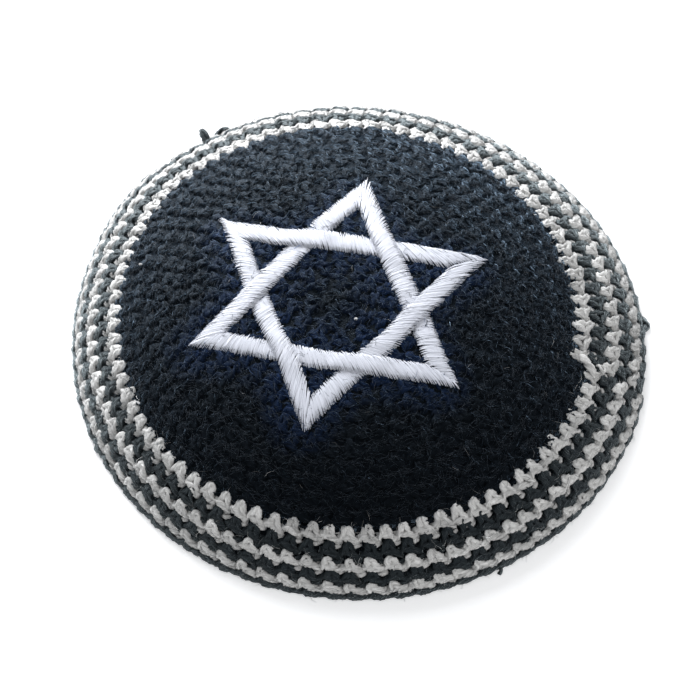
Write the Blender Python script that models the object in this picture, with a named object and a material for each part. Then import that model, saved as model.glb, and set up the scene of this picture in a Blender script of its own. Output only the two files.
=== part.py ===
"""Crocheted kippah skullcap with a striped border and an interlaced six-pointed star.

Units are metres and +Z is up. The origin is on the floor, under the middle of the rim.
The cap is worked in one spiral from the hub outwards, so each round ends one row further
out than it began, and the rounds of the border step past each other at one jog.
A place on the dome is given by its share of the rim's radius (0 at the hub, 1 at the rim)
and its azimuth (0 towards +X, counterclockwise seen from above).
"""
from math import atan2, cos, exp, pi, radians, sin

import bmesh
import bpy
import numpy as np
from mathutils import Vector

# Overall sizes
CAP_DIAMETER = 0.160
CAP_HEIGHT = 0.0275
WALL = 0.003
GAP = 0.0003

# Dome profile: height = CAP_HEIGHT * (1 - share ** SHOULDER) ** RIM_DROP
SHOULDER = 2.4
RIM_DROP = 0.7

# How the soft dome has slumped: its top leans, and its back stands higher than its front
LEAN_X = -0.0058
LEAN_Y = -0.0076
LEAN_FADE = 1.85
BACK_LIFT = 0.003

# How far the rim's outline departs from a circle
OVAL_REACH = 0.0017
OVAL_ANGLE = radians(104)
LOBE_REACH = 0.0004
LOBE_ANGLE = radians(1)
BULGE_REACH = 0.0013
BULGE_ANGLE = radians(142)
BULGE_SPREAD = radians(13)

# Crochet rounds
CROWN_ROUNDS = 14
BORDER_WIDTH = 0.0230
CROWN_RELIEF = 0.0006
BORDER_RELIEF = 0.0007
JOG_ANGLE = radians(350)
COLUMNS = 48

# Border rounds from the crown outwards: name, material, share of BORDER_WIDTH
BORDER_ROUNDS = (
    ("grey_round_1", "grey_yarn", 0.204),
    ("black_round_1", "black_yarn", 0.209),
    ("grey_round_2", "grey_yarn", 0.178),
    ("black_round_2", "black_yarn", 0.137),
    ("grey_round_3", "grey_yarn", 0.147),
    ("edge_round", "black_yarn", 0.125),
)

# Section of a border round: share across it, height in BORDER_RELIEFs, depth in WALLs
ROUND_SECTION = (
    (0.00, -0.5, 0.0),
    (0.18, 0.2, 0.0),
    (0.50, 0.5, 0.0),
    (0.82, 0.2, 0.0),
    (1.00, -0.5, 0.0),
    (1.00, 0.0, 1.0),
    (0.50, 0.0, 1.0),
    (0.00, 0.0, 1.0),
)

# Star
STAR_REACH = 0.0405
STAR_BAR = 0.0055
STAR_THICKNESS = 0.0009
STAR_LANDING = 0.0012
STAR_RAMP = 0.0045
STAR_STATIONS = 24

# Star tips, clockwise from the back: azimuth, share of STAR_REACH
STAR_TIPS = (
    (radians(80), 0.985),
    (radians(19), 1.005),
    (radians(-42), 0.985),
    (radians(-104), 0.990),
    (radians(-161), 1.060),
    (radians(141), 1.030),
)

# Section of a star bar: share across it, share of STAR_THICKNESS
STAR_SECTION = (
    (0.00, 0.0),
    (0.00, 0.5),
    (0.22, 1.0),
    (0.78, 1.0),
    (1.00, 0.5),
    (1.00, 0.0),
)

# Materials: colour, roughness
FINISHES = {
    "black_yarn": ((0.012, 0.014, 0.018, 1.0), 0.9),
    "grey_yarn": ((0.55, 0.54, 0.50, 1.0), 0.85),
    "white_thread": ((0.84, 0.85, 0.90, 1.0), 0.5),
}

# Derived sizes
CAP_RADIUS = CAP_DIAMETER / 2
STAR_SEAT = CROWN_RELIEF / 2 + GAP
STAR_RISE = STAR_THICKNESS + GAP
PROFILE_STEPS = 721


def rise(share):
    """Height of the dome at this share of the radius, as a share of the cap's height."""
    return max(1 - share ** SHOULDER, 0.0) ** RIM_DROP


def profile_arcs():
    """Arc length from the hub along the profile, with the share of the radius it reaches."""
    sweep = np.linspace(0, pi / 2, PROFILE_STEPS)
    shares = np.sin(sweep) ** (2 / SHOULDER)
    shares[-1] = 1.0
    heights = np.array([rise(share) for share in shares])
    steps = np.hypot(np.diff(shares) * CAP_RADIUS, np.diff(heights) * CAP_HEIGHT)
    return np.concatenate([[0.0], np.cumsum(steps)]), shares


ARCS, SHARES = profile_arcs()
TOTAL_ARC = float(ARCS[-1])
CROWN_ARC = TOTAL_ARC - BORDER_WIDTH


def share_at(arc):
    """Share of the radius at this arc from the hub."""
    return float(np.interp(arc, ARCS, SHARES))


def outline_reach(angle):
    """How far the rim reaches past its mean radius at this azimuth."""
    turn = (angle - BULGE_ANGLE + pi) % (2 * pi) - pi
    oval = OVAL_REACH * cos(2 * (angle - OVAL_ANGLE))
    lobe = LOBE_REACH * cos(3 * (angle - LOBE_ANGLE))
    return oval + lobe + BULGE_REACH * exp(-(turn / BULGE_SPREAD) ** 2)


def outline_centre():
    """Middle of the rim's outline, which becomes the origin."""
    angles = np.linspace(0, 2 * pi, PROFILE_STEPS)
    reaches = np.array([CAP_RADIUS + outline_reach(angle) for angle in angles])
    across = reaches * np.cos(angles)
    along = reaches * np.sin(angles)
    return (across.min() + across.max()) / 2, (along.min() + along.max()) / 2


CENTRE_X, CENTRE_Y = outline_centre()


def place(share, angle, out=0.0):
    """Point of the dome, moved out of its outer face by `out` (into the wall if negative)."""
    radius = share * (CAP_RADIUS + out + outline_reach(angle) * share)
    lean = 1 - share ** LEAN_FADE
    height = (CAP_HEIGHT + out + BACK_LIFT * share * sin(angle)) * rise(share)
    across = radius * cos(angle) + LEAN_X * lean - CENTRE_X
    along = radius * sin(angle) + LEAN_Y * lean - CENTRE_Y
    return Vector((across, along, height))


def round_edge(rounds):
    """Arc of the spiral line between two rounds, this many rounds out from the hub."""
    widths = [share * BORDER_WIDTH for _, _, share in BORDER_ROUNDS]
    edges = CROWN_ARC + np.concatenate([[0.0], np.cumsum(widths)])
    counts = CROWN_ROUNDS + np.arange(len(edges))
    return float(np.interp(rounds, np.concatenate([[0.0], counts]), np.concatenate([[0.0], edges])))


def material(slot):
    """Principled material of one yarn or thread."""
    made = bpy.data.materials.new(slot)
    made.use_nodes = True
    colour, roughness = FINISHES[slot]
    shader = made.node_tree.nodes["Principled BSDF"]
    shader.inputs["Base Color"].default_value = colour
    shader.inputs["Roughness"].default_value = roughness
    shader.inputs["Metallic"].default_value = 0.0
    return made


def finish_object(name, bm, yarn, parent):
    """Turn a bmesh into a smooth-shaded, outward-facing object under the parent."""
    bmesh.ops.recalc_face_normals(bm, faces=bm.faces)
    mesh = bpy.data.meshes.new(name)
    bm.to_mesh(mesh)
    bm.free()
    mesh.shade_smooth()
    mesh.set_sharp_from_angle(angle=radians(50))
    mesh.materials.append(yarn)
    piece = bpy.data.objects.new(name, mesh)
    bpy.context.scene.collection.objects.link(piece)
    piece.parent = parent
    return piece


def skin(bm, rings, closed):
    """Join rings of equally many points; an open run is capped at both ends."""
    loops = [[bm.verts.new(point) for point in ring] for ring in rings]
    following = loops[1:] + loops[:1] if closed else loops[1:]
    for here, there in zip(loops, following):
        for index in range(len(here)):
            after = (index + 1) % len(here)
            bm.faces.new((here[index], here[after], there[after], there[index]))
    if not closed:
        bm.faces.new(loops[0])
        bm.faces.new(reversed(loops[-1]))


def crown_row(bm, columns, first_round, out):
    """Spiral row of crown vertices that starts this many rounds from the hub."""
    row = []
    for index in range(columns + 1):
        rounds = first_round + index / COLUMNS
        clearance = GAP / 2 if rounds >= CROWN_ROUNDS - 0.5 else 0.0
        share = share_at(round_edge(rounds) - clearance)
        row.append(bm.verts.new(place(share, JOG_ANGLE + 2 * pi * index / COLUMNS, out)))
    return row


def crown_face(bm, grooves, ridges, hub):
    """Faces of one side of the crown: a fan at the hub, then the spiral rounds."""
    seam = [ridges[0]] if ridges else []
    for index in range(COLUMNS - 1):
        bm.faces.new((hub, grooves[index], grooves[index + 1]))
    bm.faces.new([hub, grooves[COLUMNS - 1], grooves[COLUMNS], *seam, grooves[0]])
    for index in range(len(grooves) - COLUMNS - 1):
        inner = (grooves[index], grooves[index + 1])
        outer = (grooves[index + COLUMNS + 1], grooves[index + COLUMNS])
        if not ridges:
            bm.faces.new((*inner, *outer))
            continue
        bm.faces.new((*inner, ridges[index + 1], ridges[index]))
        bm.faces.new((ridges[index], ridges[index + 1], *outer))


def crown(yarn, parent):
    """Black dome: ribbed by its spiral rounds outside, smooth inside, stepped at the jog."""
    bm = bmesh.new()
    last = CROWN_ROUNDS * COLUMNS
    step = last - COLUMNS
    grooves = crown_row(bm, last, 0.5, -CROWN_RELIEF / 2)
    ridges = crown_row(bm, step, 1.0, CROWN_RELIEF / 2)
    lining = crown_row(bm, last, 0.5, -WALL)
    hub = bm.verts.new(place(0.0, 0.0, -CROWN_RELIEF))
    hub_inside = bm.verts.new(place(0.0, 0.0, -WALL))
    crown_face(bm, grooves, ridges, hub)
    crown_face(bm, lining, [], hub_inside)
    for index in range(step, last):
        bm.faces.new((grooves[index], lining[index], lining[index + 1], grooves[index + 1]))
    bm.faces.new((grooves[step], ridges[step], grooves[last], lining[last], lining[step]))
    return finish_object("crown", bm, yarn, parent)


def round_section(order, turn):
    """Section of a border round, part of a turn past the jog."""
    inner = round_edge(CROWN_ROUNDS + order - 0.5 + turn) + GAP / 2
    outer = round_edge(CROWN_ROUNDS + order + 0.5 + turn) - GAP / 2
    if order == len(BORDER_ROUNDS) - 1:
        outer = TOTAL_ARC
    points = []
    for across, height, depth in ROUND_SECTION:
        share = share_at(inner + across * (outer - inner))
        out = height * BORDER_RELIEF - depth * WALL
        points.append(place(share, JOG_ANGLE + 2 * pi * turn, out))
    return points


def border_round(order, yarn, parent):
    """One round of the border, from the jog once round to the jog."""
    name = BORDER_ROUNDS[order][0]
    start = GAP / (2 * pi * CAP_RADIUS * share_at(round_edge(CROWN_ROUNDS + order - 0.5)))
    turns = [start] + [column / COLUMNS for column in range(1, COLUMNS + 1)]
    bm = bmesh.new()
    skin(bm, [round_section(order, turn) for turn in turns], closed=False)
    return finish_object(name, bm, yarn, parent)


def star_tip(order):
    """Plan position of a tip of the star about the hub, counting on past the sixth."""
    angle, reach = STAR_TIPS[order % len(STAR_TIPS)]
    return Vector((cos(angle), sin(angle))) * reach * STAR_REACH


def inner_corner(tip, before, after):
    """Corner of a triangle's inner edge: the tip moved in so that both bars are STAR_BAR wide."""
    to_before = (before - tip).normalized()
    to_after = (after - tip).normalized()
    half_angle = to_before.angle(to_after) / 2
    return tip + (to_before + to_after).normalized() * STAR_BAR / sin(half_angle)


def star_bar(order):
    """Outer and inner edge of the bar that runs clockwise from this tip: start, end for each."""
    start, end = star_tip(order), star_tip(order + 2)
    inner_start = inner_corner(start, star_tip(order - 2), end)
    inner_end = inner_corner(end, start, star_tip(order + 4))
    return start, end, inner_start, inner_end


def lift_over(plan, under):
    """How far a point of a bar is raised where it passes over another bar."""
    start, end, inner_start, _ = under
    run = (end - start).normalized()
    offset = plan - (start + inner_start) / 2
    distance = abs(run.x * offset.y - run.y * offset.x)
    away = (distance - STAR_BAR / 2 - STAR_LANDING) / STAR_RAMP
    return STAR_RISE * (1 + cos(pi * min(max(away, 0.0), 1.0))) / 2


def star_station(outer, inner, under):
    """Section of a star bar between its outer and inner edges."""
    points = []
    for across, height in STAR_SECTION:
        plan = outer.lerp(inner, across)
        point = place(plan.length / CAP_RADIUS, atan2(plan.y, plan.x))
        point.z += STAR_SEAT + lift_over(plan, under) + height * STAR_THICKNESS
        points.append(point)
    return points


def star_triangle(name, first_tip, thread, parent):
    """Triangle whose bars, taken clockwise, pass over the first bar they meet and under the next."""
    stations = []
    for order in range(first_tip, first_tip + len(STAR_TIPS), 2):
        start, end, inner_start, inner_end = star_bar(order)
        under = star_bar(order - 1)
        for index in range(STAR_STATIONS):
            along = index / STAR_STATIONS
            outer = start.lerp(end, along)
            inner = inner_start.lerp(inner_end, along)
            stations.append(star_station(outer, inner, under))
    bm = bmesh.new()
    skin(bm, stations, closed=True)
    return finish_object(name, bm, thread, parent)


def main():
    for old in list(bpy.data.objects):
        bpy.data.objects.remove(old)
    yarns = {slot: material(slot) for slot in FINISHES}
    kippah = bpy.data.objects.new("kippah", None)
    bpy.context.scene.collection.objects.link(kippah)
    crown(yarns["black_yarn"], kippah)
    for order, (_, slot, _) in enumerate(BORDER_ROUNDS):
        border_round(order, yarns[slot], kippah)
    star_triangle("star_triangle_a", 0, yarns["white_thread"], kippah)
    star_triangle("star_triangle_b", 1, yarns["white_thread"], kippah)


main()
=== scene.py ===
"""Looks of the crocheted kippah: yarn stitches, satin-stitch star, floor, light and camera.

Units are metres and +Z is up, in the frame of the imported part. The cap is one spiral of
single crochet stitches. Each round of the spiral is dressed in yarn, stitch by stitch, and
the star's bars are laid with satin threads. A stitch is drawn in its own coordinates:
along the round in stitches, across it from the crown side (0) to the rim side (1), and out
of the middle of the wall in millimetres.
"""

import bpy
import numpy as np
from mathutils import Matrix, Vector


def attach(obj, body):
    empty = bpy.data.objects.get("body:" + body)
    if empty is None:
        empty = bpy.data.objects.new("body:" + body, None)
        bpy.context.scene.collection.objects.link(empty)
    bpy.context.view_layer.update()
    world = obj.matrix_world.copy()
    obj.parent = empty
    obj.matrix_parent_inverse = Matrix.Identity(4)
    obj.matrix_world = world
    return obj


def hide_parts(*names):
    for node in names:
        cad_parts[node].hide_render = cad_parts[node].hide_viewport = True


SEED = 7

# Dome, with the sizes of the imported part
CAP_DIAMETER = 0.160
CAP_HEIGHT = 0.0275
WALL = 0.003
SHOULDER = 2.4
RIM_DROP = 0.7
LEAN_X = -0.0058
LEAN_Y = -0.0076
LEAN_FADE = 1.85
BACK_LIFT = 0.003
OVAL_REACH = 0.0017
OVAL_ANGLE = np.radians(104)
LOBE_REACH = 0.0004
LOBE_ANGLE = np.radians(1)
BULGE_REACH = 0.0013
BULGE_ANGLE = np.radians(142)
BULGE_SPREAD = np.radians(13)
PROFILE_STEPS = 721
ARC_STEP = 0.0004
TURN_STEP = 0.01

# Crochet rounds
CROWN_ROUNDS = 14
BORDER_WIDTH = 0.0230
BORDER_SHARES = (0.204, 0.209, 0.178, 0.137, 0.147, 0.125)
BORDER_NODES = (
    "grey_round_1",
    "black_round_1",
    "grey_round_2",
    "black_round_2",
    "grey_round_3",
    "edge_round",
)
JOG_ANGLE = np.radians(345)
BORDER_STITCHES = 88
HUB_STITCHES = 6
HUB_GAP = 0.0006
CROWN_SPLIT = 10

# Form of the stitches in each round of the border; stretch and shift grow towards one side
ROUND_SLANTS = (0.0, 0.0, 0.20, 0.0, 0.36, 0.0)
ROUND_HEIGHTS = (1.0, 1.0, 0.80, 1.0, 0.62, 0.9)
ROUND_LENGTHS = (1.0, 1.0, 0.97, 1.0, 0.84, 1.0)
SIDE_STRETCHES = (0.22, 0.0, 0.30, 0.0, 0.45, 0.0)
SIDE_SHIFTS = (0.0, 0.0, 0.0, 0.0, 0.22, 0.0)
SIDE_ANGLE = np.radians(10)
STITCH_MIDDLE = 0.56
SLANT_MIDDLE = 0.6

# How uneven the stitches are: whole stitches and single points, along, across and outward
STITCH_SCATTER = (0.04, 0.05, 0.06)
POINT_SCATTER = (0.025, 0.035, 0.05)
CROWN_DISORDER = 1.6
HUB_DISORDER = 0.6
HUB_ROUNDS = 7
YARN_UNEVEN = 0.06
YARN_LUMPY = 0.05
STITCH_SHADES = 0.09
# Painted shading: a stitch is lighter towards its top on the crown side, as a painted highlight,
# and darker towards the rim side, as painted shade
PAINTED_SHADING_MIDDLE = 0.4
PAINTED_STITCH_SHADING = 0.28

# Yarn: three plies, so a ring round it dips between them
BORDER_YARN = 0.00090
CROWN_YARN = 0.00110
YARN_TWIST = 0.0085
FACING_DEPTH = 0.4
FINE_RING = (0.64, 1.06, 1.06) * 3
PLAIN_RING = (0.62, 1.10) * 3
THREAD_RING = (1.0,) * 5
FIBRE_RING = (1.0,) * 3

# Paths of a stitch's yarn: along the round, across it, out of the middle of the wall in mm
ARCH = (
    (-0.52, 0.74, -0.30),
    (-0.33, 0.56, 0.60),
    (-0.19, 0.32, 0.95),
    (-0.13, 0.06, 0.95),
    (-0.01, -0.10, 0.78),
    (0.11, 0.04, 0.98),
    (0.13, 0.32, 1.05),
    (0.20, 0.56, 1.00),
    (0.32, 0.80, 0.70),
    (0.42, 0.96, -0.40),
)
FRONT_LOOP = (
    (-0.50, 0.56, -0.10),
    (-0.30, 0.54, 0.78),
    (-0.02, 0.60, 1.00),
    (0.26, 0.78, 0.85),
    (0.52, 0.88, -0.20),
)
FOOT = (
    (-0.04, 1.10, -0.20),
    (0.12, 1.16, 0.74),
    (0.38, 1.14, 0.78),
    (0.54, 1.06, -0.20),
)
BACK_BAR = (
    (-0.52, 0.55, -0.20),
    (-0.25, 0.40, -0.78),
    (0.10, 0.36, -0.88),
    (0.50, 0.52, -0.20),
)
BACK_POST = (
    (0.02, 1.10, -0.20),
    (0.05, 0.85, -0.75),
    (0.00, 0.15, -0.60),
    (-0.04, -0.10, -0.10),
)

# Each path with its number of samples and its thickness
FRONT_PATHS = (
    (ARCH, 17, 1.0),
    (FRONT_LOOP, 8, 1.08),
    (FOOT, 6, 0.68),
)
BACK_PATHS = (
    (BACK_BAR, 7, 1.0),
    (BACK_POST, 6, 1.0),
)
EDGE_CORD_YARN = 0.00095
EDGE_CORD_PLACE = 0.72
EDGE_CORD_SAMPLES = 420
EDGE_CORD_WANDER = 0.10
EDGE_CORD_LIFT = 0.0007
BACKING_COLUMNS = 96
BACKING_THICKNESS = 0.0005
# The skin between the stitches is darkened, as painted shade in the gaps
BACKING_PAINTED_SHADE = 0.7

# Coordinates of the fibre pattern: along a tube, from tube to tube, and over a skin
FIBRE_ALONG = 120
FIBRE_STEP = 7.3
FIBRE_OVER = 900

# Star: its bars
STAR_REACH = 0.0405
STAR_BAR = 0.0055
STAR_THICKNESS = 0.0009
STAR_LANDING = 0.0004
STAR_RAMP = 0.0040
STAR_SEAT = 0.0006
STAR_RISE = 0.0006
STAR_PRESS = 0.5
STAR_TIPS = ((80, 0.985), (19, 1.005), (-42, 0.985), (-104, 0.990), (-161, 1.060), (141, 1.030))
TIP_OVERLAP = 0.0012
SHORTEST_THREAD = 0.0017

# Star: its satin threads
THREAD_RADIUS = 0.00013
THREAD_SPACING = 0.00018
THREAD_SAMPLES = 7
THREAD_FLATNESS = 0.45
STAR_RAGGED = 0.00020
THREAD_UNEVEN = 0.08
THREAD_SHADES = 0.04
THREAD_OVERHANG = 0.0001
THREAD_OVERRUN = 0.012
THREAD_WAVER = 2.5
LEAST_CROSSING = 0.35
SATIN_ARCH = 0.30
SATIN_HEIGHT = 0.6
SATIN_LIFT = 0.0002
SATIN_SINK = 0.0004
LEAST_FULLNESS = 0.3
FULLNESS_UNEVEN = 0.06
END_THINNESS = 0.55

# Star: the padding under the threads
UNDERLAY_STATIONS = 40
UNDERLAY_WIDTHS = (0.16, 0.30, 0.50, 0.70, 0.84)
UNDERLAY_HEIGHTS = (0.0, 0.45, 0.6, 0.45, 0.0)
UNDERLAY_SINK = 0.0003
# The padding is darker than the threads, as painted shade where it shows between them
UNDERLAY_PAINTED_SHADE = 0.8

# How far each bar bows out from the hub at five places along it, mm
BAR_BOWS = (
    (0.3, 0.5, 1.2, 1.2, 0.3),
    (0.7, 1.6, 2.2, 1.5, 1.0),
    (0.4, 0.9, 1.2, 0.8, 0.4),
    (0.2, -0.7, 0.5, 0.4, 0.3),
    (-0.3, -0.7, -0.4, 0.3, 0.3),
    (-0.6, -0.9, 0.4, 0.6, 0.3),
)

# Painted bluish reflection of the star's light on the yarn beside it
STAR_REFLECTION_FULL = 0.002
STAR_REFLECTION_REACH = 0.016
STAR_REFLECTION_LESS_OUTSIDE = 0.005

# Slant of the satin threads in the photo at five places along each bar, degrees from level
THREAD_SLANTS = (
    (85, 48, 20, 5, 0),
    (15, 6, 0, -45, -80),
    (-50, -55, -70, -110, -145),
    (85, 62, 30, -5, -25),
    (12, 3, -4, -45, -80),
    (-30, -50, -80, -50, -28),
)

# Fuzz
CROWN_FIBRES = 10500
BORDER_FIBRES = 300
NAP_RADIUS = 0.00005
HAIR_RADIUS = 0.000026
FUZZ_OUTWARD = 0.40
FUZZ_ROW = 0.15
FUZZ_SPREAD = 0.13
FUZZ_IN_ROWS = 0.75
# Spread of the fibres' random tone, so a few stand out bright as painted glints
FUZZ_PAINTED_GLINT_SPREAD = 0.9
FUZZ_LENGTHS = (0.0010, 0.0028)
FUZZ_CURL = 0.5
FUZZ_LIFT = 0.35
FUZZ_CLEARANCE = 0.0001
FUZZ_MARGIN = 0.001
FUZZ_TAPER = (1.0, 0.9, 0.4)
FUZZ_SHADE = 0.5
CROWN_STRAYING = 0.8
FREE_STRAYING = np.pi / 2

# Loose bits of yarn: arc from the hub, azimuth in degrees, height over the outer face
BACK_NUB = (
    (0.0835, 123.6, -0.0010),
    (0.0840, 123.6, 0.0018),
    (0.0843, 123.2, 0.0031),
    (0.0840, 122.8, 0.0018),
    (0.0835, 122.7, -0.0010),
)
BACK_LEAF = (
    (0.0850, 121.4, -0.0010),
    (0.0846, 120.0, 0.0006),
    (0.0840, 118.4, 0.0006),
    (0.0835, 117.2, -0.0010),
)
RIM_KNOT = (
    (0.0868, 4.0, -0.0012),
    (0.0878, 3.0, 0.0002),
    (0.0881, 1.8, 0.0006),
    (0.0872, 0.8, -0.0010),
)
RIM_TIP = (
    (0.0870, 296.8, -0.0012),
    (0.0880, 296.3, 0.0004),
    (0.0884, 295.6, 0.0012),
)
JOG_LOOP = (
    (0.0700, 345.6, -0.0008),
    (0.0696, 345.2, 0.0010),
    (0.0702, 344.2, 0.0015),
    (0.0712, 343.8, 0.0013),
    (0.0716, 344.8, 0.0012),
    (0.0708, 345.5, 0.0008),
    (0.0702, 345.8, -0.0008),
)
JOG_STEP = (
    (0.0648, 346.6, -0.0010),
    (0.0654, 345.6, 0.0004),
    (0.0668, 344.4, 0.0008),
    (0.0684, 343.2, 0.0006),
    (0.0694, 342.4, -0.0010),
)
NUB_YARN = 0.00074
LEAF_YARN = 0.00075
KNOT_YARN = 0.00105
TIP_YARN = 0.00055
LOOP_YARN = 0.00035
STEP_YARN = 0.00110

# White lint: arc from the hub and azimuth in degrees
SPECKS = ((0.0086, 307.0), (0.0593, 166.5))
SPECK_SIZE = 0.00028
LINT_FIBRES = 70

# Camera, as fitted to the photo
CAMERA_FOCAL_PIXELS = 2000
CAMERA_ELEVATION = np.radians(55.4)
CAMERA_DISTANCE = 0.54893
CAMERA_ASIDE = 0.002134
CAMERA_ALOFT = 0.004141
PHOTO_PIXELS = 700
SENSOR_WIDTH = 36

# The yarn ends this far above the floor
LOWEST = 0.00002

# Light
SKY_STRENGTH = 0.50
WINDOW_PLACE = (-0.50, 1.20, 0.52)
WINDOW_SIZE = 1.0
WINDOW_POWER = 46.0
FILL_PLACE = (0.90, -0.70, 0.90)
FILL_SIZE = 1.2
FILL_POWER = 4.5
FLOOR_GLOW = 0.30

# Derived sizes
CAP_RADIUS = CAP_DIAMETER / 2


def rise(share):
    """Height of the dome at this share of the radius, as a share of the cap's height."""
    return np.maximum(1 - share ** SHOULDER, 0.0) ** RIM_DROP


def profile_arcs():
    """Arc length from the hub along the profile, with the share of the radius it reaches."""
    shares = np.sin(np.linspace(0, np.pi / 2, PROFILE_STEPS)) ** (2 / SHOULDER)
    shares[-1] = 1.0
    steps = np.hypot(np.diff(shares) * CAP_RADIUS, np.diff(rise(shares)) * CAP_HEIGHT)
    return np.concatenate([[0.0], np.cumsum(steps)]), shares


ARCS, SHARES = profile_arcs()
TOTAL_ARC = ARCS[-1]
CROWN_ARC = TOTAL_ARC - BORDER_WIDTH


def outline_reach(angle):
    """How far the rim reaches past its mean radius at this azimuth."""
    turn = (angle - BULGE_ANGLE + np.pi) % (2 * np.pi) - np.pi
    oval = OVAL_REACH * np.cos(2 * (angle - OVAL_ANGLE))
    lobe = LOBE_REACH * np.cos(3 * (angle - LOBE_ANGLE))
    return oval + lobe + BULGE_REACH * np.exp(-(turn / BULGE_SPREAD) ** 2)


def outline_centre():
    """Middle of the rim's outline, which is the origin."""
    angles = np.linspace(0, 2 * np.pi, PROFILE_STEPS)
    reaches = CAP_RADIUS + outline_reach(angles)
    across = reaches * np.cos(angles)
    along = reaches * np.sin(angles)
    return (across.min() + across.max()) / 2, (along.min() + along.max()) / 2


CENTRE_X, CENTRE_Y = outline_centre()


def place(share, angle):
    """Points of the dome's outer face."""
    radius = share * (CAP_RADIUS + outline_reach(angle) * share)
    lean = 1 - share ** LEAN_FADE
    across = radius * np.cos(angle) + LEAN_X * lean - CENTRE_X
    along = radius * np.sin(angle) + LEAN_Y * lean - CENTRE_Y
    height = (CAP_HEIGHT + BACK_LIFT * share * np.sin(angle)) * rise(share)
    return np.stack([across, along, height], axis=-1)


def unit(vectors):
    """Vectors scaled to length one."""
    return vectors / np.maximum(np.linalg.norm(vectors, axis=-1, keepdims=True), 1e-12)


def dome(arc, angle):
    """Points of the outer face with their directions around the hub, away from it and outward."""
    arc = np.clip(arc, ARC_STEP, TOTAL_ARC)
    share = np.interp(arc, ARCS, SHARES)
    inner = place(np.interp(arc - ARC_STEP, ARCS, SHARES), angle)
    outer = place(np.interp(arc + ARC_STEP, ARCS, SHARES), angle)
    away = unit(outer - inner)
    around = unit(place(share, angle + TURN_STEP) - place(share, angle - TURN_STEP))
    outward = unit(np.cross(away, around))
    return place(share, angle), around, away, outward


def round_edge(rounds):
    """Arc of the spiral line between two rounds, this many rounds out from the hub."""
    edges = CROWN_ARC + np.concatenate([[0.0], np.cumsum(BORDER_SHARES)]) * BORDER_WIDTH
    counts = CROWN_ROUNDS + np.arange(len(edges))
    return np.interp(rounds, np.concatenate([[0.0], counts]), np.concatenate([[0.0], edges]))


def smooth_weights(controls, samples):
    """Weights that draw a smooth path of this many samples through the control points."""
    weights = np.zeros((samples, controls))
    for row, position in enumerate(np.linspace(0, controls - 1, samples)):
        first = min(int(position), controls - 2)
        part = position - first
        shares = (
            -part + 2 * part ** 2 - part ** 3,
            2 - 5 * part ** 2 + 3 * part ** 3,
            part + 4 * part ** 2 - 3 * part ** 3,
            -part ** 2 + part ** 3,
        )
        for offset, share in enumerate(shares):
            column = min(max(first - 1 + offset, 0), controls - 1)
            weights[row, column] += share / 2
    return weights


def tubes(paths, sides, radii, ring, twist, shades, facings, flatness=1.0):
    """Closed tubes along paths of equally many points.

    paths and sides have the shape (tubes, points, 3), radii (tubes, points) and shades
    (tubes, points) or (tubes, 1). sides point across each path. ring scales the radius round
    the tube, and the ring turns once in every `twist` of length, if that isn't zero. facings
    say which way the cap's wall faces there. A tube is `flatness` times as thick across its
    sides as along them.
    """
    count, points, _ = paths.shape
    size = len(ring)
    tangents = unit(np.gradient(paths, axis=1))
    ups = unit(np.cross(sides, tangents))
    lefts = np.cross(tangents, ups)
    steps = np.linalg.norm(np.diff(paths, axis=1), axis=-1)
    lengths = np.concatenate([np.zeros((count, 1)), np.cumsum(steps, axis=1)], axis=1)
    turned = lengths * (2 * np.pi / twist) if twist else lengths * 0
    angles = turned[..., None] + np.arange(size) * 2 * np.pi / size
    reach = radii[..., None] * np.array(ring)
    offsets = (
        (reach * np.cos(angles))[..., None] * lefts[:, :, None, :]
        + (flatness * reach * np.sin(angles))[..., None] * ups[:, :, None, :]
    )
    corners = paths[:, :, None, :] + offsets
    index = np.arange(count * points * size).reshape(count, points, size)
    after = np.roll(index, -1, axis=2)
    quads = np.stack([index[:, :-1], after[:, :-1], after[:, 1:], index[:, 1:]], axis=-1)
    caps = np.concatenate([index[:, 0, ::-1], index[:, -1]])
    around = np.arange(size) * 2 * np.pi / size
    fibre = np.empty(corners.shape)
    fibre[..., 0] = np.cos(around)
    fibre[..., 1] = np.sin(around)
    fibre[..., 2] = lengths[..., None] * FIBRE_ALONG + np.arange(count)[:, None, None] * FIBRE_STEP
    return {
        "points": corners.reshape(-1, 3),
        "loops": np.concatenate([quads.reshape(-1), caps.reshape(-1)]),
        "sizes": np.concatenate([np.full(quads.size // 4, 4), np.full(2 * count, size)]),
        "fibre": fibre.reshape(-1, 3),
        "shade": np.repeat(np.broadcast_to(shades, (count, points)), size),
        "facing": np.repeat(facings, size, axis=1).reshape(-1, 3),
    }


def joined(batches):
    """Several batches of faces as one."""
    starts = np.cumsum([0] + [len(batch["points"]) for batch in batches[:-1]])
    loops = [batch["loops"] + start for batch, start in zip(batches, starts)]
    whole = {"loops": np.concatenate(loops)}
    for key in ("points", "sizes", "fibre", "shade", "facing"):
        whole[key] = np.concatenate([batch[key] for batch in batches])
    return whole


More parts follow.
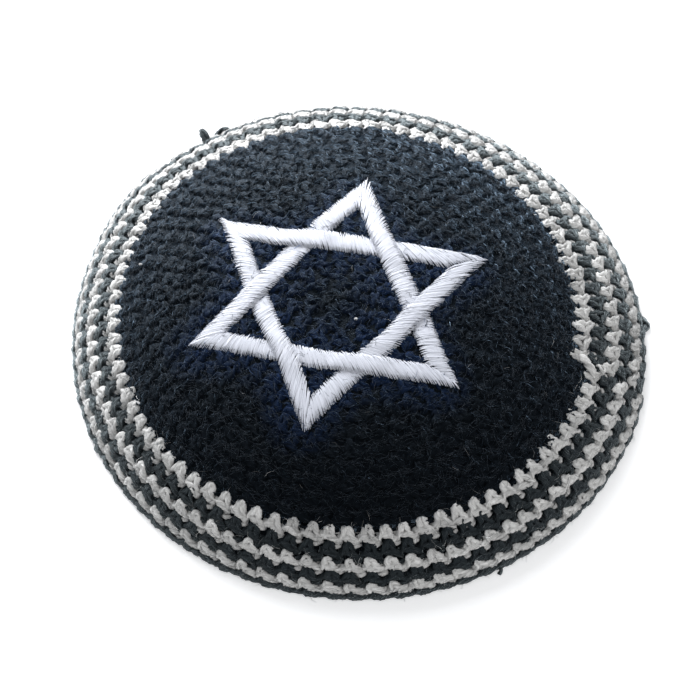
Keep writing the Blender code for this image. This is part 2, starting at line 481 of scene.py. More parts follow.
def add_piece(name, batches, finish, nodes):
    """Mesh object from batches of faces, standing for these CAD nodes."""
    whole = joined(batches)
    points = whole["points"].copy()
    points[:, 2] = np.maximum(points[:, 2], LOWEST)
    mesh = bpy.data.meshes.new(name)
    mesh.vertices.add(len(points))
    mesh.vertices.foreach_set("co", points.astype(np.float32).ravel())
    mesh.loops.add(len(whole["loops"]))
    mesh.loops.foreach_set("vertex_index", whole["loops"].astype(np.int32))
    mesh.polygons.add(len(whole["sizes"]))
    starts = np.concatenate([[0], np.cumsum(whole["sizes"])[:-1]])
    mesh.polygons.foreach_set("loop_start", starts.astype(np.int32))
    mesh.update(calc_edges=True)
    mesh.shade_smooth()
    for key in ("fibre", "facing"):
        layer = mesh.attributes.new(key, "FLOAT_VECTOR", "POINT")
        layer.data.foreach_set("vector", whole[key].astype(np.float32).ravel())
    # Painted reflection: the outer face of the yarn beside the star turns bluish, as lit by the
    # star
    painted_star_reflection = star_nearness(points) * np.clip(whole["facing"][:, 2], 0, 1)
    for key, values in (("shade", whole["shade"]), ("painted_star_reflection", painted_star_reflection)):
        layer = mesh.attributes.new(key, "FLOAT", "POINT")
        layer.data.foreach_set("value", values.astype(np.float32))
    mesh.materials.append(finish)
    piece = bpy.data.objects.new(name, mesh)
    bpy.context.scene.collection.objects.link(piece)
    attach(piece, "root")
    if nodes:
        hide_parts(*nodes)
    return piece


def stitch_form(order):
    """Slant, height, length, stretch, shift, disorder and yarn of the stitches of a round."""
    border = order - CROWN_ROUNDS
    if border < 0:
        disorder = HUB_DISORDER if order < HUB_ROUNDS else CROWN_DISORDER
        return 0.0, 1.0, 1.0, 0.0, 0.0, disorder, CROWN_YARN
    return (
        ROUND_SLANTS[border],
        ROUND_HEIGHTS[border],
        ROUND_LENGTHS[border],
        SIDE_STRETCHES[border],
        SIDE_SHIFTS[border],
        1.0,
        BORDER_YARN,
    )


def stitch_path(path, samples, thickness, order, count, ring, rng):
    """Tubes of one path of the stitch, for every stitch of a round."""
    slant, height, length, stretch, shift, disorder, yarn = stitch_form(order)
    yarn = thickness * yarn
    turns = (np.arange(count) + 0.5) / count
    sideways = np.cos(JOG_ANGLE + 2 * np.pi * turns - SIDE_ANGLE)[:, None]
    height = height * (1 + stretch * np.where(sideways > 0, sideways, 0.5 * sideways) ** 2)
    shift = shift * np.maximum(sideways, 0) ** 2
    control = np.repeat(np.array(path)[None], count, axis=0)
    control[..., 0] = length * control[..., 0] + slant * (control[..., 1] - SLANT_MIDDLE)
    control[..., 1] = STITCH_MIDDLE + shift + height * (control[..., 1] - STITCH_MIDDLE)
    control = control + disorder * rng.normal(0, 1, (count, 1, 3)) * STITCH_SCATTER
    control = control + disorder * rng.normal(0, 1, control.shape) * POINT_SCATTER
    local = np.einsum("sc,ncd->nsd", smooth_weights(len(path), samples), control)
    turn = turns[:, None] + local[..., 0] / count
    inner = round_edge(np.maximum(order - 0.5 + turn, 0.0))
    outer = round_edge(order + 0.5 + turn)
    arc = inner + local[..., 1] * (outer - inner)
    arc = np.clip(arc, HUB_GAP, TOTAL_ARC - yarn)
    point, _, _, outward = dome(arc, JOG_ANGLE + 2 * np.pi * turn)
    point = point + outward * (local[..., 2:] / 1000 - WALL / 2)
    radii = yarn * rng.normal(1, YARN_UNEVEN, (count, 1))
    radii = radii * rng.normal(1, YARN_LUMPY, (count, samples))
    shades = rng.normal(1, STITCH_SHADES, (count, 1))
    # Each stitch's random tone, then a painted highlight at its top and painted shade towards the
    # rim side
    shades = shades * (1 + PAINTED_STITCH_SHADING * (PAINTED_SHADING_MIDDLE - local[..., 1]))
    facings = outward * np.clip(local[..., 2:] / FACING_DEPTH, -1, 1)
    return tubes(point, outward, radii, ring, YARN_TWIST, shades, facings)


def stitch_round(order, ring, rng):
    """Front and back of all stitches of a round, counted from the hub."""
    count = HUB_STITCHES if order == 0 else round(BORDER_STITCHES * min(order / CROWN_ROUNDS, 1))
    batches = [stitch_path(*path, order, count, ring, rng) for path in FRONT_PATHS]
    batches += [stitch_path(*path, order, count, PLAIN_RING, rng) for path in BACK_PATHS]
    return batches


def edge_cord(rng):
    """Yarn that runs along the rim and closes the last round."""
    turn = np.linspace(0, 1, EDGE_CORD_SAMPLES)
    inner = round_edge(CROWN_ROUNDS + 4.5 + turn)
    outer = round_edge(CROWN_ROUNDS + 5.5 + turn)
    wander = np.convolve(rng.normal(0, EDGE_CORD_WANDER, EDGE_CORD_SAMPLES), np.ones(5) / 5, "same")
    arc = inner + (EDGE_CORD_PLACE + wander) * (outer - inner)
    arc = np.clip(arc, 0.0, TOTAL_ARC - EDGE_CORD_YARN)
    point, _, _, outward = dome(arc, JOG_ANGLE + 2 * np.pi * turn)
    point = point - outward * (WALL / 2 - EDGE_CORD_LIFT)
    radii = EDGE_CORD_YARN * rng.normal(1, YARN_UNEVEN, (1, EDGE_CORD_SAMPLES))
    sides = outward[None]
    return tubes(point[None], sides, radii, FINE_RING, YARN_TWIST, np.ones((1, 1)), sides)


def backing(first_round, rounds, clearance, rise_to):
    """Thin skin inside the wall, which closes what shows between the stitches.

    It ends `clearance` short of the rim, and its outer face lies `rise_to` out of the middle
    of the wall.
    """
    rows = int(rounds * 2) + 1
    turns = np.linspace(0, 1, BACKING_COLUMNS + 1)[None, :]
    lines = first_round + np.linspace(0, rounds, rows)[:, None] + turns
    arc = np.clip(round_edge(np.maximum(lines, 0.0)), HUB_GAP, TOTAL_ARC - clearance)
    point, _, _, outward = dome(arc, JOG_ANGLE + 2 * np.pi * turns + lines * 0)
    depths = (0.0, BACKING_THICKNESS)
    layers = [point + outward * (rise_to - depth - WALL / 2) for depth in depths]
    index = np.arange(2 * rows * (BACKING_COLUMNS + 1)).reshape(2, rows, BACKING_COLUMNS + 1)
    faces = []
    for layer, flip in ((index[0], False), (index[1], True)):
        quad = [layer[:-1, :-1], layer[1:, :-1], layer[1:, 1:], layer[:-1, 1:]]
        faces.append(np.stack(quad[::-1] if flip else quad, axis=-1).reshape(-1, 4))
    for side in (0, -1):
        rim = [index[0, side, :-1], index[0, side, 1:], index[1, side, 1:], index[1, side, :-1]]
        faces.append(np.stack(rim if side else rim[::-1], axis=-1).reshape(-1, 4))
    quads = np.concatenate(faces)
    points = np.stack(layers).reshape(-1, 3)
    return {
        "points": points,
        "loops": quads.reshape(-1),
        "sizes": np.full(len(quads), 4),
        "fibre": points * FIBRE_OVER,
        # Darkened as painted shade where it shows between the stitches
        "shade": np.full(len(points), BACKING_PAINTED_SHADE),
        "facing": points * 0,
    }


def star_tip(order):
    """Plan position of a tip of the star about the hub, counting on past the sixth."""
    degrees, reach = STAR_TIPS[order % len(STAR_TIPS)]
    angle = np.radians(degrees)
    return np.array([np.cos(angle), np.sin(angle)]) * reach * STAR_REACH


def inner_corner(tip, before, after):
    """Corner of a triangle's inner edge: the tip moved in so that both bars are STAR_BAR wide."""
    to_before = unit(before - tip)
    to_after = unit(after - tip)
    half_angle = np.arccos(np.dot(to_before, to_after)) / 2
    return tip + unit(to_before + to_after) * STAR_BAR / np.sin(half_angle)


def star_bar(order):
    """Corners of the bar that runs clockwise from this tip: start, end, inner end, inner start."""
    start, end = star_tip(order), star_tip(order + 2)
    inner_start = inner_corner(start, star_tip(order - 2), end)
    inner_end = inner_corner(end, start, star_tip(order + 4))
    return np.array([start, end, inner_end, inner_start])


def along_and_across(plan, order):
    """Place of plan points along a bar, 0 to 1, how far out of its straight middle, and outward."""
    bar = star_bar(order)
    start = (bar[0] + bar[3]) / 2
    run = (bar[1] + bar[2]) / 2 - start
    across = unit(np.array([run[1], -run[0]]))
    outward = across * np.sign(across @ start)
    offset = plan - start
    return offset @ run / (run @ run), offset @ outward, outward


def bow(order, along):
    """How far a bar bows out from the hub at these places along it."""
    return np.interp(along, np.linspace(0, 1, 5), BAR_BOWS[order]) / 1000


def bowed(plan, order):
    """Plan points of a straight bar where the bowed bar has them."""
    along, _, outward = along_and_across(plan, order)
    return plan + bow(order, along)[..., None] * outward


def crossed(plan, other):
    """1 where another bar crosses these plan points, fading to 0 beside it."""
    along, across, _ = along_and_across(plan, other % len(STAR_TIPS))
    beside = np.abs(across - bow(other % len(STAR_TIPS), along)) - STAR_BAR / 2 - STAR_LANDING
    return (1 + np.cos(np.pi * np.clip(beside / STAR_RAMP, 0, 1))) / 2


def on_dome(plan):
    """Points of the outer face over plan positions about the hub, and which way it faces."""
    share = np.hypot(plan[..., 0], plan[..., 1]) / CAP_RADIUS
    arc = np.interp(share, SHARES, ARCS)
    point, _, _, outward = dome(arc, np.arctan2(plan[..., 1], plan[..., 0]))
    return point, outward


# Mask of the painted bluish reflection beside the star
def star_nearness(points):
    """1 beside the star's bars, fading to 0 further off."""
    plan = points[:, :2] - place(0.0, 0.0)[:2]
    nearest = np.full(len(points), 1.0)
    for order in range(len(STAR_TIPS)):
        bar = star_bar(order)
        start = (bar[0] + bar[3]) / 2
        run = (bar[1] + bar[2]) / 2 - start
        along = np.clip((plan - start) @ run / (run @ run), 0, 1)
        away = np.linalg.norm(plan - start - along[:, None] * run, axis=1)
        nearest = np.minimum(nearest, away)
    outside = np.clip((np.linalg.norm(plan, axis=1) - STAR_REACH / 2) / (STAR_REACH / 4), 0, 1)
    reach = STAR_REFLECTION_REACH - STAR_REFLECTION_LESS_OUTSIDE * outside
    return np.clip((reach - nearest) / (reach - STAR_REFLECTION_FULL), 0, 1)


def crossing(centre, direction, bar):
    """Ends of the line through a point of a bar where it leaves the bar, as distances along it."""
    low, high = -1.0, 1.0
    for corner, following in zip(bar, np.roll(bar, -1, axis=0)):
        edge = following - corner
        inward = np.array([edge[1], -edge[0]])
        speed = direction @ inward
        start = (centre - corner) @ inward
        if abs(speed) < 1e-12:
            continue
        if speed > 0:
            low = max(low, -start / speed)
        else:
            high = min(high, -start / speed)
    return low, high


def bar_threads(order, rng):
    """Plan position of both ends of every satin thread of a bar."""
    bar = star_bar(order)
    start = (bar[0] + bar[3]) / 2
    run = (bar[1] + bar[2]) / 2 - start
    length = np.linalg.norm(run)
    axis = run / length
    longer = bar + np.outer((-TIP_OVERLAP, TIP_OVERLAP, TIP_OVERLAP, -TIP_OVERLAP), axis)
    ends = []
    along = -THREAD_OVERRUN
    while along < length + THREAD_OVERRUN:
        slant = np.interp(along / length, np.linspace(0, 1, 5), THREAD_SLANTS[order])
        slant = np.radians(slant + rng.normal(0, THREAD_WAVER))
        direction = unit(np.array([np.cos(slant), np.sin(slant) / np.sin(CAMERA_ELEVATION)]))
        low, high = crossing(start + axis * along, direction, longer)
        if high - low > SHORTEST_THREAD:
            low += rng.normal(-THREAD_OVERHANG, STAR_RAGGED)
            high += rng.normal(THREAD_OVERHANG, STAR_RAGGED)
            middle = start + axis * along
            ends.append((middle + direction * low, middle + direction * high))
        across = abs(axis[0] * direction[1] - axis[1] * direction[0])
        along += THREAD_SPACING / max(across, LEAST_CROSSING)
    return np.array(ends)


def satin(order, rng):
    """Threads of one bar, arched over its padding."""
    ends = bar_threads(order, rng)
    count = len(ends)
    shares = np.linspace(0, 1, THREAD_SAMPLES)[None, :, None]
    plan = ends[:, None, 0] * (1 - shares) + ends[:, None, 1] * shares
    arch = np.sin(np.pi * shares[..., 0]) ** SATIN_ARCH
    spans = np.linalg.norm(ends[:, 1] - ends[:, 0], axis=1)[:, None]
    fullness = np.clip(spans / STAR_BAR, LEAST_FULLNESS, 1)
    fullness = fullness * rng.normal(1, FULLNESS_UNEVEN, (count, 1))
    plan = bowed(plan, order)
    point, outward = on_dome(plan)
    point[..., 2] += STAR_SEAT - SATIN_SINK + STAR_RISE * crossed(plan, order - 1)
    height = SATIN_HEIGHT * STAR_THICKNESS * fullness + SATIN_LIFT
    point[..., 2] += arch * height * (1 - STAR_PRESS * crossed(plan, order + 1))
    sides = np.cross(unit(point[:, -1:] - point[:, :1]), (0.0, 0.0, 1.0)) + point * 0
    radii = THREAD_RADIUS * rng.normal(1, THREAD_UNEVEN, (count, 1))
    radii = radii * (END_THINNESS + (1 - END_THINNESS) * arch)
    shades = rng.normal(1, THREAD_SHADES, (count, 1))
    return tubes(point, sides, radii, THREAD_RING, 0, shades, outward, THREAD_FLATNESS)


def underlay(order):
    """Padding under the threads of one bar."""
    bar = star_bar(order)
    along = np.linspace(0.01, 0.99, UNDERLAY_STATIONS)[:, None, None]
    outer = bar[0] + (bar[1] - bar[0]) * along
    inner = bar[3] + (bar[2] - bar[3]) * along
    across = np.array(UNDERLAY_WIDTHS)[None, :, None]
    plan = outer * (1 - across) + inner * across
    plan = bowed(plan, order)
    point, _ = on_dome(plan)
    point[..., 2] += STAR_SEAT - UNDERLAY_SINK + STAR_RISE * crossed(plan, order - 1)
    pressed = 1 - STAR_PRESS * crossed(plan, order + 1)
    point[..., 2] += np.array(UNDERLAY_HEIGHTS) * STAR_THICKNESS * pressed
    columns = len(UNDERLAY_WIDTHS)
    index = np.arange(UNDERLAY_STATIONS * columns).reshape(UNDERLAY_STATIONS, columns)
    after = np.roll(index, -1, axis=1)
    quads = np.stack([index[:-1], index[1:], after[1:], after[:-1]], axis=-1)
    caps = np.stack([index[0], index[-1, ::-1]])
    points = point.reshape(-1, 3)
    return {
        "points": points,
        "loops": np.concatenate([quads.reshape(-1), caps.reshape(-1)]),
        "sizes": np.concatenate([np.full(quads.size // 4, 4), np.full(2, columns)]),
        "fibre": points * FIBRE_OVER,
        # Darkened as painted shade where it shows between the threads
        "shade": np.full(len(points), UNDERLAY_PAINTED_SHADE),
        "facing": points * 0,
    }


def row_lines(rng):
    """Places of the crown's fuzz, gathered where the stitches of each round stand highest."""
    lines = CROWN_ROUNDS * rng.uniform(0, 1, CROWN_FIBRES) ** FUZZ_OUTWARD
    rows = np.floor(lines) + FUZZ_ROW + rng.normal(0, FUZZ_SPREAD, CROWN_FIBRES)
    gathered = rng.uniform(0, 1, CROWN_FIBRES) < FUZZ_IN_ROWS
    return np.clip(np.where(gathered, rows, lines), 0.0, CROWN_ROUNDS)


def fibres(lines, radius, straying, rng):
    """Loose fibres that stand off the yarn at these lines of the spiral.

    They run along the rounds, up to `straying` radians off.
    """
    count = len(lines)
    turn = rng.uniform(0, 1, count)
    arc = np.clip(round_edge(lines - 0.5 + turn), FUZZ_MARGIN, TOTAL_ARC - FUZZ_MARGIN)
    point, around, away, outward = dome(arc, JOG_ANGLE + 2 * np.pi * turn)
    heading = rng.integers(0, 2, (count, 1)) * np.pi + rng.uniform(-straying, straying, (count, 1))
    flat = around * np.cos(heading) + away * np.sin(heading)
    bend = around * -np.sin(heading) + away * np.cos(heading)
    length = rng.uniform(*FUZZ_LENGTHS, (count, 1))
    curl = rng.normal(0, FUZZ_CURL, (count, 1))
    stations = []
    for share in (0.0, 0.5, 1.0):
        hump = np.sin(np.pi * share * rng.uniform(0.5, 1.0, (count, 1)))
        lift = FUZZ_CLEARANCE + FUZZ_LIFT * length * hump
        run = flat * length * share + bend * length * curl * share ** 2
        stations.append(point + run + outward * lift)
    paths = np.stack(stations, axis=1)
    sides = np.repeat(bend[:, None], 3, axis=1)
    radii = np.full((count, 3), radius) * FUZZ_TAPER
    # Random tone of each fibre, skewed so a few are bright: painted glints
    shades = FUZZ_SHADE * np.exp(rng.normal(0, FUZZ_PAINTED_GLINT_SPREAD, (count, 1)))
    facings = np.repeat(outward[:, None], 3, axis=1)
    return tubes(paths, sides, radii, FIBRE_RING, 0, shades, facings)


def loose_end(stations, radius, samples):
    """One tube through stations given as arc, azimuth and height over the outer face."""
    arc, degrees, height = np.array(stations).T
    point, _, _, outward = dome(arc, np.radians(degrees))
    weights = smooth_weights(len(stations), samples)
    path = weights @ (point + outward * height[:, None])
    sides = weights @ outward
    radii = np.full((1, samples), radius)
    shades = np.ones((1, 1))
    return tubes(path[None], sides[None], radii, FINE_RING, YARN_TWIST, shades, sides[None])


def specks():
    """Bits of white lint caught in the crown."""
    batches = []
    for arc, degrees in SPECKS:
        turn = np.degrees(SPECK_SIZE / arc)
        stations = (
            (arc - SPECK_SIZE, degrees - turn, 0.0003),
            (arc, degrees, 0.0009),
            (arc + SPECK_SIZE, degrees, 0.0004),
        )
        batches.append(loose_end(stations, SPECK_SIZE, 5))
    return batches


def new_material(name):
    """Empty material with its shader."""
    made = bpy.data.materials.new(name)
    made.use_nodes = True
    return made, made.node_tree.nodes, made.node_tree.links, made.node_tree.nodes["Principled BSDF"]


def attribute(nodes, name, output):
    """Output of a mesh attribute."""
    node = nodes.new("ShaderNodeAttribute")
    node.attribute_name = name
    return node.outputs[output]


def noise(nodes, links, vector, scale, detail):
    """Output of a noise texture read at these coordinates."""
    node = nodes.new("ShaderNodeTexNoise")
    node.inputs["Scale"].default_value = scale
    node.inputs["Detail"].default_value = detail
    links.new(vector, node.inputs["Vector"])
    return node.outputs["Fac"]


def ramp(nodes, links, value, stops):
    """Colour of a value between stops of position and colour."""
    node = nodes.new("ShaderNodeValToRGB")
    elements = node.color_ramp.elements
    while len(elements) < len(stops):
        elements.new(0.5)
    for element, (position, colour) in zip(elements, stops):
        element.position = position
        element.color = colour
    links.new(value, node.inputs["Fac"])
    return node.outputs["Color"]


def math(nodes, links, operation, first, second):
    """Result of an operation on two values, of which the second may be a number."""
    node = nodes.new("ShaderNodeMath")
    node.operation = operation
    links.new(first, node.inputs[0])
    if isinstance(second, (int, float)):
        node.inputs[1].default_value = second
    else:
        links.new(second, node.inputs[1])
    return node.outputs[0]


def mix(nodes, links, share, first, second, blend="MIX"):
    """Two colours mixed; each is a colour or an output."""
    node = nodes.new("ShaderNodeMix")
    node.data_type = "RGBA"
    node.blend_type = blend
    if isinstance(share, float):
        node.inputs["Factor"].default_value = share
    else:
        links.new(share, node.inputs["Factor"])
    for name, value in (("A", first), ("B", second)):
        socket = [one for one in node.inputs if one.name == name and one.type == "RGBA"][0]
        if isinstance(value, tuple):
            socket.default_value = value
        else:
            links.new(value, socket)
    return [one for one in node.outputs if one.type == "RGBA"][0]


def bump(nodes, links, height, strength, distance, under=None):
    """Bump from a height, on top of another normal if given."""
    node = nodes.new("ShaderNodeBump")
    node.inputs["Strength"].default_value = strength
    node.inputs["Distance"].default_value = distance
    links.new(height, node.inputs["Height"])
    if under is not None:
        links.new(under, node.inputs["Normal"])
    return node.outputs["Normal"]


def shaded(nodes, links, colour):
    """Colour times the shade of its strand."""
    # The shade attribute is each strand's random tone, with painted shade and painted highlights on
    # some pieces
    shade = nodes.new("ShaderNodeCombineColor")
    for channel in ("Red", "Green", "Blue"):
        links.new(attribute(nodes, "shade", "Fac"), shade.inputs[channel])
    return mix(nodes, links, 1.0, colour, shade.outputs[0], "MULTIPLY")


def evened(nodes, links, share):
    """Normal turned towards the way that the wall faces, since fuzz evens the yarn out."""
    leaning = nodes.new("ShaderNodeVectorMath")
    leaning.operation = "MULTIPLY_ADD"
    links.new(attribute(nodes, "facing", "Vector"), leaning.inputs[0])
    leaning.inputs[1].default_value = (share, share, share)
    links.new(nodes.new("ShaderNodeNewGeometry").outputs["Normal"], leaning.inputs[2])
    even = nodes.new("ShaderNodeVectorMath")
    even.operation = "NORMALIZE"
    links.new(leaning.outputs[0], even.inputs[0])
    return even.outputs[0]


def yarn_material(name, plain, painted_reflection_colours, evenness):
    """Fuzzy yarn: fibres along its plies, stitches a little lighter and darker.

    plain holds the deep and the pale colour away from the star; the second pair holds them beside
    it, turned bluish as a painted reflection of the star's light.
    """
    made, nodes, links, shader = new_material(name)
    fibre = attribute(nodes, "fibre", "Vector")
    coordinates = nodes.new("ShaderNodeTexCoord").outputs["Object"]
    strands = noise(nodes, links, fibre, scale=3.4, detail=4.0)
    lumps = noise(nodes, links, coordinates, scale=1400.0, detail=3.0)
    patches = noise(nodes, links, coordinates, scale=60.0, detail=2.0)
    streaks = math(nodes, links, "MULTIPLY", strands, 0.7)
    grain = math(nodes, links, "MULTIPLY", lumps, 0.3)
    blend = math(nodes, links, "ADD", streaks, grain)
    colour = ramp(nodes, links, blend, ((0.40, plain[0]), (0.62, plain[1])))
    beside = ramp(nodes, links, blend, ((0.40, painted_reflection_colours[0]), (0.62, painted_reflection_colours[1])))
    colour = mix(nodes, links, math(nodes, links, "MULTIPLY", patches, 0.3), colour, plain[0])
    # Painted reflection: bluish colours beside the star
    colour = mix(nodes, links, attribute(nodes, "painted_star_reflection", "Fac"), colour, beside)
    links.new(shaded(nodes, links, colour), shader.inputs["Base Color"])
    normal = evened(nodes, links, evenness)
    normal = bump(nodes, links, strands, strength=0.8, distance=0.0003, under=normal)
    normal = bump(nodes, links, lumps, strength=0.5, distance=0.0003, under=normal)
    links.new(normal, shader.inputs["Normal"])
    return made, shader


def black_material(name, plain, painted_reflection_colours, evenness, gloss, sheen, spread, sheen_tint):
    """Near-black yarn or fuzz that catches a cool light where it is seen aslant."""
    made, shader = yarn_material(name, plain, painted_reflection_colours, evenness)
    shader.inputs["Roughness"].default_value = 0.50
    shader.inputs["Specular IOR Level"].default_value = gloss
    shader.inputs["Specular Tint"].default_value = (0.62, 0.80, 1.0, 1.0)
    shader.inputs["Sheen Weight"].default_value = sheen
    shader.inputs["Sheen Roughness"].default_value = spread
    shader.inputs["Sheen Tint"].default_value = sheen_tint
    return made


def black_yarn():
    """Yarn of the crown."""
    return black_material(
        "black_yarn_fuzzy",
        ((0.0002, 0.0003, 0.0005, 1.0), (0.0022, 0.0028, 0.0040, 1.0)),
        # Second pair: colours beside the star, with a painted bluish reflection
        ((0.0012, 0.0038, 0.0140, 1.0), (0.0090, 0.0240, 0.0760, 1.0)),
        evenness=3.0,
        gloss=0.06,
        sheen=1.0,
        spread=0.39,
        sheen_tint=(0.55, 0.76, 1.0, 1.0),
    )


def black_border_yarn():
    """Yarn of the black rounds and the rim, worked looser and fuzzier than the crown."""
    colours = ((0.0014, 0.0026, 0.0038, 1.0), (0.0060, 0.0095, 0.0125, 1.0))
    return black_material(
        "black_border_fuzzy",
        colours,
        colours,
        evenness=6.0,
        gloss=0.06,
        sheen=1.0,
        spread=0.50,
        sheen_tint=(0.84, 0.96, 1.0, 1.0),
    )


def black_fuzz_painted_highlights():
    """Loose fibres of the black yarn, a little lighter than it."""
    # Coloured lighter than the yarn: painted highlights where fuzz catches the light, and bluish
    # beside the star as a painted reflection
    return black_material(
        "black_fuzz_painted_highlights",
        ((0.002, 0.003, 0.005, 1.0), (0.012, 0.016, 0.022, 1.0)),
        ((0.006, 0.015, 0.040, 1.0), (0.022, 0.048, 0.125, 1.0)),
        evenness=3.0,
        gloss=0.22,
        sheen=0.70,
        spread=0.39,
        sheen_tint=(0.66, 0.78, 0.92, 1.0),
    )


def grey_yarn():
    """Light warm grey yarn."""
    made, shader = yarn_material(
        "grey_yarn_fuzzy",
        ((0.56, 0.555, 0.54, 1.0), (0.86, 0.855, 0.84, 1.0)),
        # Second pair: colours beside the star, with a painted reflection of the star's light
        ((0.60, 0.60, 0.60, 1.0), (0.95, 0.95, 0.96, 1.0)),
        evenness=0.5,
    )
    shader.inputs["Roughness"].default_value = 0.75
    shader.inputs["Specular IOR Level"].default_value = 0.30
    shader.inputs["Sheen Weight"].default_value = 0.30
    shader.inputs["Sheen Roughness"].default_value = 0.35
    shader.inputs["Sheen Tint"].default_value = (0.90, 0.95, 1.0, 1.0)
    return made


def thread_material():
    """White satin thread: glossy, each thread a little lighter or darker than the next."""
    made, nodes, links, shader = new_material("satin_thread")
    fibre = attribute(nodes, "fibre", "Vector")
    strands = noise(nodes, links, fibre, scale=1.8, detail=2.0)
    colour = mix(nodes, links, strands, (0.66, 0.69, 0.77, 1.0), (0.78, 0.80, 0.88, 1.0))
    links.new(shaded(nodes, links, colour), shader.inputs["Base Color"])
    normal = evened(nodes, links, 1.0)
    normal = bump(nodes, links, strands, strength=0.3, distance=0.0001, under=normal)
    links.new(normal, shader.inputs["Normal"])
    shader.inputs["Roughness"].default_value = 0.42
    shader.inputs["Sheen Weight"].default_value = 0.25
    return made


def floor_material():
    """Pale matte floor, very slightly uneven."""
    made, nodes, links, shader = new_material("floor")
    coordinates = nodes.new("ShaderNodeTexCoord").outputs["Object"]
    patches = noise(nodes, links, coordinates, scale=3.0, detail=2.0)
    colour = mix(nodes, links, patches, (0.93, 0.93, 0.93, 1.0), (0.95, 0.95, 0.95, 1.0))
    links.new(colour, shader.inputs["Base Color"])
    shader.inputs["Emission Color"].default_value = (1.0, 1.0, 1.0, 1.0)
    shader.inputs["Emission Strength"].default_value = FLOOR_GLOW
    shader.inputs["Roughness"].default_value = 0.9
    return made


def dress_cap(black, black_border, grey, rng):
    """Yarn of the crown and the border, with its backing and its fuzz."""
    black_loose = black_fuzz_painted_highlights()
    for name, first, last in (("inner", 0, CROWN_SPLIT), ("outer", CROWN_SPLIT, CROWN_ROUNDS)):
        rounds = [stitch_round(order, PLAIN_RING, rng) for order in range(first, last)]
        batches = [batch for stitches in rounds for batch in stitches]
        add_piece("crown_stitches_" + name, batches, black, ["crown"])
    skin = backing(-1.0, CROWN_ROUNDS + 0.5, clearance=0.001, rise_to=0.0009)
    add_piece("crown_backing", [skin], black, ["crown"])
    fuzz = fibres(row_lines(rng), NAP_RADIUS, CROWN_STRAYING, rng)
    add_piece("crown_fuzz", [fuzz], black_loose, [])
    skin = backing(CROWN_ROUNDS - 0.5, 6.0, clearance=0.0005, rise_to=0.0002)
    add_piece("border_backing", [skin], black, list(BORDER_NODES))
    add_piece("edge_cord", [edge_cord(rng)], black_border, ["edge_round"])
    for index, node in enumerate(BORDER_NODES):
        order = CROWN_ROUNDS + index
        pale = node.startswith("grey")
        finish, slot = (grey, "grey_yarn") if pale else (black_border, "black_yarn")
        add_piece(node + "_stitches", stitch_round(order, FINE_RING, rng), finish, [node])
        radius = HAIR_RADIUS if pale else NAP_RADIUS
        lines = rng.uniform(order - 0.4, order + 0.4, BORDER_FIBRES)
        fuzz = fibres(lines, radius, FREE_STRAYING, rng)
        add_piece(node + "_fuzz", [fuzz], grey if pale else black_loose, [])


def dress_loose_ends(black_border, grey, rng):
    """Loops, knots and lint that stand off the cap."""
    dark = [
        loose_end(BACK_NUB, NUB_YARN, 14),
        loose_end(BACK_LEAF, LEAF_YARN, 10),
        loose_end(RIM_KNOT, KNOT_YARN, 10),
        loose_end(RIM_TIP, TIP_YARN, 7),
    ]
    add_piece("loose_black_yarn", dark, black_border, [])
    pale = [loose_end(JOG_LOOP, LOOP_YARN, 18), loose_end(JOG_STEP, STEP_YARN, 12)]
    add_piece("loose_grey_yarn", pale + specks(), grey, [])
    lines = np.sqrt(rng.uniform(0, CROWN_ROUNDS ** 2, LINT_FIBRES))
    lint = fibres(lines, HAIR_RADIUS, FREE_STRAYING, rng)
    add_piece("lint", [lint], grey, [])


def dress_star(rng):
    """Satin threads of both triangles over their padding."""
    finish = thread_material()
    for name, first in (("star_triangle_a", 0), ("star_triangle_b", 1)):
        bars = range(first, len(STAR_TIPS), 2)
        threads = [satin(order, rng) for order in bars]
        padding = [underlay(order) for order in bars]
        add_piece(name + "_satin", threads, finish, [name])
        add_piece(name + "_padding", padding, finish, [name])


def add_floor():
    """Pale floor that the rim rests on."""
    bpy.ops.mesh.primitive_plane_add(size=12.0, location=(0, 0, 0))
    floor = bpy.context.object
    floor.name = "floor"
    floor.data.materials.append(floor_material())


def add_light(name, location, size, power, colour):
    """Square area light that faces the cap."""
    data = bpy.data.lights.new(name, "AREA")
    data.size = size
    data.energy = power
    data.color = colour
    light = bpy.data.objects.new(name, data)
    light.location = location
    light.rotation_euler = (-Vector(location)).to_track_quat("-Z", "Y").to_euler()
    bpy.context.scene.collection.objects.link(light)


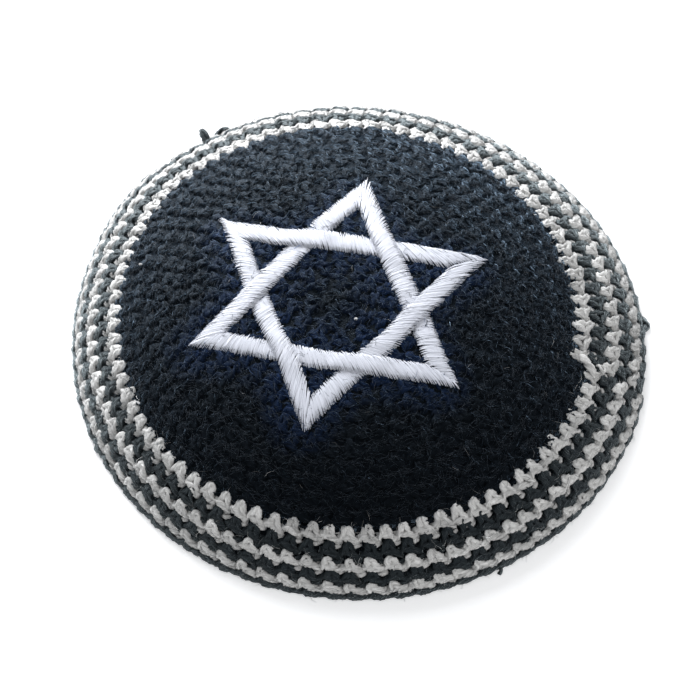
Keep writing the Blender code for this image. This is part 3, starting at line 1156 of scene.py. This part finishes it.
def light_scene():
    """Soft light all round, a window-like light from behind on the left, and a weak fill."""
    world = bpy.data.worlds.new("studio")
    world.use_nodes = True
    background = world.node_tree.nodes["Background"]
    background.inputs["Color"].default_value = (0.95, 0.97, 1.0, 1.0)
    background.inputs["Strength"].default_value = SKY_STRENGTH
    bpy.context.scene.world = world
    add_light("window", WINDOW_PLACE, WINDOW_SIZE, WINDOW_POWER, (0.97, 0.98, 1.0))
    add_light("fill", FILL_PLACE, FILL_SIZE, FILL_POWER, (1.0, 0.98, 0.96))


def add_camera():
    """Camera at the photo's angle, with the photo's plain contrast."""
    sine, cosine = np.sin(CAMERA_ELEVATION), np.cos(CAMERA_ELEVATION)
    back = Vector((0.0, -cosine, sine))
    up = Vector((0.0, sine, cosine))
    data = bpy.data.cameras.new("camera")
    data.sensor_width = SENSOR_WIDTH
    data.lens = CAMERA_FOCAL_PIXELS / PHOTO_PIXELS * SENSOR_WIDTH
    data.clip_start = 0.01
    camera = bpy.data.objects.new("camera", data)
    aside = Vector((CAMERA_ASIDE + CENTRE_X, CENTRE_Y, 0.0))
    camera.location = back * CAMERA_DISTANCE - up * CAMERA_ALOFT - aside
    camera.rotation_euler = (np.pi / 2 - CAMERA_ELEVATION, 0.0, 0.0)
    bpy.context.scene.collection.objects.link(camera)
    bpy.context.scene.camera = camera
    bpy.context.scene.view_settings.view_transform = "Standard"


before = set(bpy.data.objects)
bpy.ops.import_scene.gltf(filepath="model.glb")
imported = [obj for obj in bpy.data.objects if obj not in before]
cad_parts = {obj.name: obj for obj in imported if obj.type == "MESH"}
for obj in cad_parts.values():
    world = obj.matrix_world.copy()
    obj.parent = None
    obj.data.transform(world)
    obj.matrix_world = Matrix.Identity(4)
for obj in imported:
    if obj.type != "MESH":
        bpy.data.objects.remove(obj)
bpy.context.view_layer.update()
rng = np.random.default_rng(SEED)
add_camera()
black = black_yarn()
black_border = black_border_yarn()
grey = grey_yarn()
dress_cap(black, black_border, grey, rng)
dress_loose_ends(black_border, grey, rng)
dress_star(rng)
add_floor()
light_scene()
